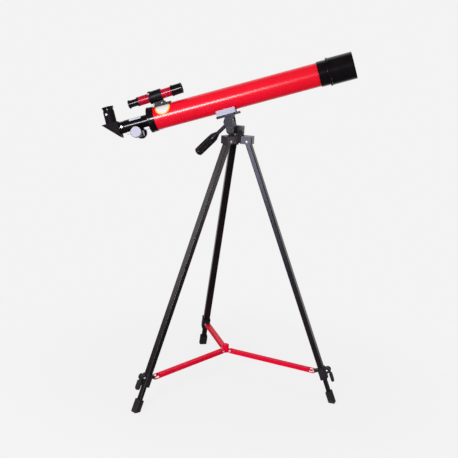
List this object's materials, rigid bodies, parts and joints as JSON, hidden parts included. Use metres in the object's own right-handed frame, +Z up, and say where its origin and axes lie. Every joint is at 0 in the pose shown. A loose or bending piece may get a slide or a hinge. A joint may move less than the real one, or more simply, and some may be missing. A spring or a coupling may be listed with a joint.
{
  "type": "refractor telescope on tripod",
  "caption": "Small refractor telescope with finder, star diagonal and rack focuser, on a pan and tilt head with a folding leg stand and spreader.",
  "frame": {"origin": "on the floor, under the pan axis", "axes": "+Z up along the pan axis, +X the way the camera plate points in plan, the tilt axle along Y"},
  "size_m": [0.6277, 0.5194, 0.8709],
  "materials": {
    "red_tube": "high gloss",
    "red_spreader": "satin",
    "head_plastic": "satin",
    "leg_metal": "black anodised",
    "shin_metal": "black anodised",
    "satin_plastic": "satin",
    "handle_metal": "satin",
    "rubber": "matt",
    "gloss_black": "semi-gloss",
    "bright_steel": "bright",
    "silver": "satin",
    "glass": "coated",
    "mirror": "polished"
  },
  "bodies": {
    "stand": {"tripod_hub": "head_plastic", "leg_rivets": "bright_steel"},
    "leg_front": {"upper_leg_front": "leg_metal", "leg_collar_front": "satin_plastic", "collar_pins_front": "bright_steel"},
    "shin_front": {"lower_leg_front": "shin_metal", "foot_front": "rubber"},
    "lever_front": {"lock_lever_front": "satin_plastic"},
    "arm_front": {"spreader_arm_front": "red_spreader"},
    "leg_far": {"upper_leg_far": "leg_metal", "leg_collar_far": "satin_plastic", "collar_pins_far": "bright_steel"},
    "shin_far": {"lower_leg_far": "shin_metal", "foot_far": "rubber"},
    "lever_far": {"lock_lever_far": "satin_plastic"},
    "arm_far": {"spreader_arm_far": "red_spreader"},
    "leg_near": {"upper_leg_near": "leg_metal", "leg_collar_near": "satin_plastic", "collar_pins_near": "bright_steel"},
    "shin_near": {"lower_leg_near": "shin_metal", "foot_near": "rubber"},
    "lever_near": {"lock_lever_near": "satin_plastic"},
    "arm_near": {"spreader_arm_near": "red_spreader"},
    "spreader": {"spreader_hub": "red_spreader", "spreader_pins": "bright_steel"},
    "pan": {"pan_base": "head_plastic", "pan_bolt": "bright_steel", "tilt_axle": "bright_steel"},
    "tilt": {"tilt_platform": "head_plastic", "saddle_block": "silver", "saddle_screws": "bright_steel", "main_tube": "red_tube", "objective_cell": "gloss_black", "objective_lens": "glass", "lens_retainer": "gloss_black", "dew_shield": "gloss_black", "focuser_housing": "gloss_black", "focuser_screws": "bright_steel", "pinion_cover": "gloss_black", "finder_bracket": "gloss_black", "finder_screws": "bright_steel", "finder_tube": "red_tube", "finder_shade": "gloss_black", "finder_lens": "glass"},
    "handle": {"handle_rod": "handle_metal", "handle_grip": "satin_plastic"},
    "platform_screw": {"platform_screw": "bright_steel"},
    "draw": {"draw_tube": "gloss_black", "focus_rack": "bright_steel"},
    "pinion": {"focus_pinion": "bright_steel", "focus_knobs": "gloss_black", "knob_caps": "silver"},
    "diagonal": {"diagonal_body": "gloss_black", "diagonal_cover": "gloss_black", "diagonal_mirror": "mirror"},
    "diagonal_screw": {"diagonal_screw": "bright_steel"},
    "eyepiece": {"eyepiece": "gloss_black", "eyepiece_lenses": "glass"},
    "eyepiece_screw": {"eyepiece_screw": "bright_steel"},
    "finder_eyepiece": {"finder_eyepiece": "gloss_black"}
  },
  "joints": [
    {"name": "leg_fold_front", "type": "hinge", "parent": "stand", "child": "leg_front", "pos_m": [0.02889, 0.00253, 0.642], "axis": [-0.0872, 0.9962, 0], "range_deg": [0, 4.5]},
    {"name": "leg_fold_far", "type": "hinge", "parent": "stand", "child": "leg_far", "pos_m": [-0.01663, 0.02375, 0.642], "axis": [-0.8192, -0.5736, 0], "range_deg": [0, 4.51]},
    {"name": "leg_fold_near", "type": "hinge", "parent": "stand", "child": "leg_near", "pos_m": [-0.01226, -0.02628, 0.642], "axis": [0.9063, -0.4226, 0], "range_deg": [0, 4.51]},
    {"name": "spreader_rise", "type": "slide", "parent": "stand", "child": "spreader", "axis": [0, 0, 1], "range_m": [0, 0.10354]},
    {"name": "arm_fold_front", "type": "hinge", "parent": "spreader", "child": "arm_front", "pos_m": [0.01295, 0.00113, 0.09344], "axis": [-0.0872, 0.9962, 0], "range_deg": [0, 33.01]},
    {"name": "arm_fold_far", "type": "hinge", "parent": "spreader", "child": "arm_far", "pos_m": [-0.00746, 0.01065, 0.09344], "axis": [-0.8192, -0.5736, 0], "range_deg": [0, 33.01]},
    {"name": "arm_fold_near", "type": "hinge", "parent": "spreader", "child": "arm_near", "pos_m": [-0.00549, -0.01178, 0.09344], "axis": [0.9063, -0.4226, 0], "range_deg": [0, 33.01]},
    {"name": "leg_slide_front", "type": "slide", "parent": "leg_front", "child": "shin_front", "axis": [0.3732, 0.0326, -0.9272], "range_m": [-0.032, 0.3]},
    {"name": "leg_slide_far", "type": "slide", "parent": "leg_far", "child": "shin_far", "axis": [-0.2149, 0.3069, -0.9272], "range_m": [-0.032, 0.3]},
    {"name": "leg_slide_near", "type": "slide", "parent": "leg_near", "child": "shin_near", "axis": [-0.1583, -0.3395, -0.9272], "range_m": [-0.032, 0.3]},
    {"name": "lever_front", "type": "hinge", "parent": "leg_front", "child": "lever_front", "pos_m": [0.26881, 0.02352, 0.08461], "axis": [0.0872, -0.9962, 0], "range_deg": [0, 100]},
    {"name": "lever_far", "type": "hinge", "parent": "leg_far", "child": "lever_far", "pos_m": [-0.15477, 0.22104, 0.08461], "axis": [0.8192, 0.5736, 0], "range_deg": [0, 100]},
    {"name": "lever_near", "type": "hinge", "parent": "leg_near", "child": "lever_near", "pos_m": [-0.11404, -0.24456, 0.08461], "axis": [-0.9063, 0.4226, 0], "range_deg": [0, 100]},
    {"name": "pan", "type": "hinge", "parent": "stand", "child": "pan", "pos_m": [0, 0, 0.6553], "axis": [0, 0, -1], "continuous": true},
    {"name": "tilt", "type": "hinge", "parent": "pan", "child": "tilt", "pos_m": [-0.0145, 0, 0.6664], "axis": [0, 1, 0], "range_deg": [-35, 50]},
    {"name": "handle_twist", "type": "hinge", "parent": "tilt", "child": "handle", "pos_m": [-0.02417, 0, 0.68193], "axis": [-0.6909, 0, -0.723], "continuous": true},
    {"name": "platform_screw_turn", "type": "hinge", "parent": "tilt", "child": "platform_screw", "pos_m": [-0.01705, 0, 0.68882], "axis": [-0.3305, 0, 0.9438], "continuous": true},
    {"name": "focus", "type": "slide", "parent": "tilt", "child": "draw", "axis": [-0.9026, -0.2924, -0.3161], "range_m": [0, 0.055]},
    {"name": "pinion_turn", "type": "hinge", "parent": "tilt", "child": "pinion", "pos_m": [-0.23303, -0.06918, 0.64504], "axis": [0.2399, -0.9511, 0.1948], "range_deg": [0, 563.2]},
    {"name": "diagonal_turn", "type": "hinge", "parent": "draw", "child": "diagonal", "pos_m": [-0.27991, -0.07955, 0.65213], "axis": [0.9026, 0.2924, 0.3161], "continuous": true},
    {"name": "diagonal_screw_turn", "type": "hinge", "parent": "draw", "child": "diagonal_screw", "pos_m": [-0.26882, -0.09139, 0.65767], "axis": [0.2399, -0.9511, 0.1948], "continuous": true},
    {"name": "eyepiece_pull", "type": "slide", "parent": "diagonal", "child": "eyepiece", "axis": [-0.3575, 0.1, 0.9285], "range_m": [0, 0.024]},
    {"name": "eyepiece_screw_turn", "type": "hinge", "parent": "diagonal", "child": "eyepiece_screw", "pos_m": [-0.31055, -0.08106, 0.68249], "axis": [0.1119, -0.9825, 0.1489], "continuous": true},
    {"name": "finder_focus", "type": "slide", "parent": "tilt", "child": "finder_eyepiece", "axis": [-0.8873, -0.2921, -0.3569], "range_m": [0, 0.006]}
  ],
  "couplings": [
    {"joint": "leg_fold_far", "follows": "leg_fold_front", "ratio": 1},
    {"joint": "leg_fold_near", "follows": "leg_fold_front", "ratio": 1},
    {"joint": "spreader_rise", "follows": "leg_fold_front", "m_per_rad": 1.317},
    {"joint": "arm_fold_front", "follows": "leg_fold_front", "ratio": 7.3302},
    {"joint": "arm_fold_far", "follows": "leg_fold_front", "ratio": 7.3302},
    {"joint": "arm_fold_near", "follows": "leg_fold_front", "ratio": 7.3302},
    {"joint": "pinion_turn", "follows": "focus", "rad_per_m": 178.57}
  ]
}
